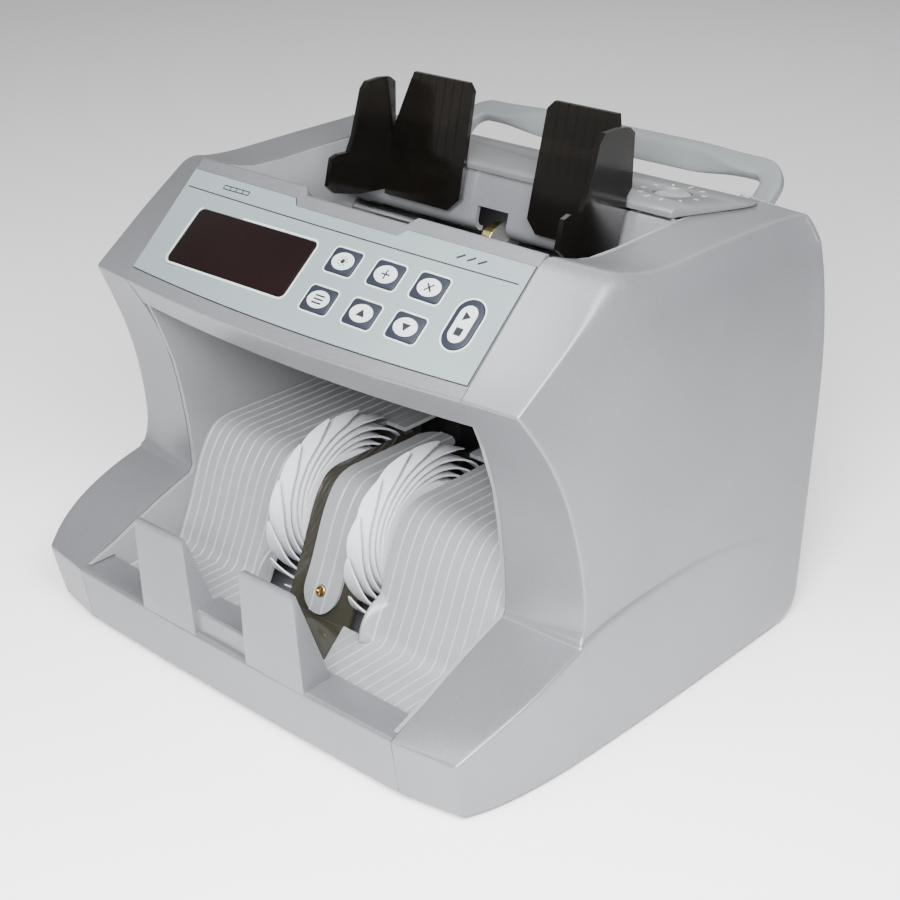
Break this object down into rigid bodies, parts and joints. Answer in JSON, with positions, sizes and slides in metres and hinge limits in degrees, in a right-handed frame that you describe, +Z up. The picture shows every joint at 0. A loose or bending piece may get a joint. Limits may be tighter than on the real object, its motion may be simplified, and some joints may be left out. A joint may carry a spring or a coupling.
{
  "type": "banknote counting machine",
  "caption": "Desktop banknote counter with a top hopper, sloping key panel, front stacker with swept blade impellers, and a swing-up rear carrying handle.",
  "frame": {"origin": "centre of the footprint of the bounding box, on the surface the feet stand on", "axes": "+X to the machine's right as seen from the front, +Y from the stacker to the rear panel, +Z up"},
  "size_m": [0.293, 0.2788, 0.2346],
  "materials": {
    "housing": "silver-grey moulded plastic, fine pearl speckle",
    "grey_plastic": "mid grey moulded plastic",
    "white_plastic": "pale grey moulded plastic",
    "black_plastic": "black moulded plastic",
    "overlay": "pale grey-green printed membrane",
    "window": "near-black glossy display window",
    "key": "dark slate-blue key with a white oval",
    "smoke": "smoky brown translucent plastic",
    "brass": "polished brass",
    "steel": "bright steel",
    "rubber": "black rubber",
    "board": "green circuit board with components"
  },
  "bodies": {
    "machine": {"side_cover_left": "housing", "side_cover_right": "housing", "stacker_lip": "housing", "console_shell": "housing", "hopper_rear_wall": "housing", "top_rear_cover": "housing", "rear_panel": "housing", "hopper_floor": "housing", "base_tray": "grey_plastic", "stacker_plate_left": "grey_plastic", "stacker_plate_right": "grey_plastic", "arch_band": "grey_plastic", "inner_wall_left": "white_plastic", "inner_wall_right": "white_plastic", "chute_liner": "black_plastic", "sensor_bridge": "black_plastic", "power_inlet": "black_plastic", "switch_frame": "black_plastic", "panel_overlay": "overlay", "display_window": "window", "smoke_guard": "smoke", "band_screw": "brass", "guide_rail": "steel", "feed_motor": "steel", "stack_motor": "steel", "power_transformer": "steel", "foot_front_left": "rubber", "foot_front_right": "rubber", "foot_rear_left": "rubber", "foot_rear_right": "rubber", "retard_block": "rubber", "drive_belt": "rubber", "timing_belt": "rubber", "main_board": "board", "display_board": "board"},
    "key_test": {"key_test": "key"},
    "key_add": {"key_add": "key"},
    "key_multi": {"key_multi": "key"},
    "key_batch": {"key_batch": "key"},
    "key_up": {"key_up": "key"},
    "key_down": {"key_down": "key"},
    "key_start": {"key_start": "key"},
    "power_rocker": {"power_rocker": "black_plastic"},
    "thickness_dial": {"thickness_dial": "grey_plastic"},
    "guide_left": {"note_guide_left": "smoke"},
    "guide_right": {"note_guide_right": "smoke"},
    "impellers": {"impeller_shaft": "steel", "impeller_left": "white_plastic", "impeller_right": "white_plastic"},
    "feed": {"feed_shaft": "steel", "feed_roller": "rubber", "feed_collar": "brass", "feed_pulley": "white_plastic"},
    "transport": {"transport_shaft": "steel", "transport_roller_left": "rubber", "transport_roller_right": "rubber", "transport_pulley": "white_plastic"},
    "motor_drive": {"motor_pulley": "white_plastic"},
    "handle": {"handle": "housing"}
  },
  "joints": [
    {"name": "key_test_press", "type": "slide", "parent": "machine", "child": "key_test", "axis": [-0.0043, 0.6272, -0.7789], "range_m": [0, 0.0008], "stiffness_N_per_m": 350},
    {"name": "key_add_press", "type": "slide", "parent": "machine", "child": "key_add", "axis": [-0.0124, 0.6325, -0.7745], "range_m": [0, 0.0008], "stiffness_N_per_m": 350},
    {"name": "key_multi_press", "type": "slide", "parent": "machine", "child": "key_multi", "axis": [-0.0204, 0.6427, -0.7659], "range_m": [0, 0.0008], "stiffness_N_per_m": 350},
    {"name": "key_batch_press", "type": "slide", "parent": "machine", "child": "key_batch", "axis": [-0.0075, 0.6272, -0.7788], "range_m": [0, 0.0008], "stiffness_N_per_m": 350},
    {"name": "key_up_press", "type": "slide", "parent": "machine", "child": "key_up", "axis": [-0.021, 0.6326, -0.7742], "range_m": [0, 0.0008], "stiffness_N_per_m": 350},
    {"name": "key_down_press", "type": "slide", "parent": "machine", "child": "key_down", "axis": [-0.0345, 0.6427, -0.7654], "range_m": [0, 0.0008], "stiffness_N_per_m": 350},
    {"name": "key_start_press", "type": "slide", "parent": "machine", "child": "key_start", "axis": [-0.0407, 0.6583, -0.7516], "range_m": [0, 0.0008], "stiffness_N_per_m": 350},
    {"name": "power_switch", "type": "hinge", "parent": "machine", "child": "power_rocker", "pos_m": [-0.028, 0.08818, 0.043], "axis": [1, 0, 0], "range_deg": [-24, 0]},
    {"name": "thickness_turn", "type": "hinge", "parent": "machine", "child": "thickness_dial", "pos_m": [0.078, 0.06498, 0.1936], "axis": [0, 0, 1], "range_deg": [-150, 150]},
    {"name": "guide_left_slide", "type": "slide", "parent": "machine", "child": "guide_left", "axis": [-1, 0, 0], "range_m": [-0.01, 0.022]},
    {"name": "guide_right_slide", "type": "slide", "parent": "machine", "child": "guide_right", "axis": [1, 0, 0], "range_m": [-0.01, 0.016]},
    {"name": "impeller_spin", "type": "hinge", "parent": "machine", "child": "impellers", "pos_m": [0, -0.04042, 0.052], "axis": [1, 0, 0], "continuous": true},
    {"name": "feed_spin", "type": "hinge", "parent": "machine", "child": "feed", "pos_m": [0, 0.04718, 0.1605], "axis": [1, 0, 0], "continuous": true},
    {"name": "transport_spin", "type": "hinge", "parent": "machine", "child": "transport", "pos_m": [0, -0.00232, 0.115], "axis": [1, 0, 0], "continuous": true},
    {"name": "motor_spin", "type": "hinge", "parent": "machine", "child": "motor_drive", "pos_m": [0.1035, 0.05968, 0.065], "axis": [1, 0, 0], "continuous": true},
    {"name": "handle_swing", "type": "hinge", "parent": "machine", "child": "handle", "pos_m": [0, 0.08208, 0.1588], "axis": [1, 0, 0], "range_deg": [-109, 0]}
  ],
  "couplings": [
    {"joint": "transport_spin", "follows": "feed_spin", "ratio": 1},
    {"joint": "motor_spin", "follows": "feed_spin", "ratio": 1}
  ]
}
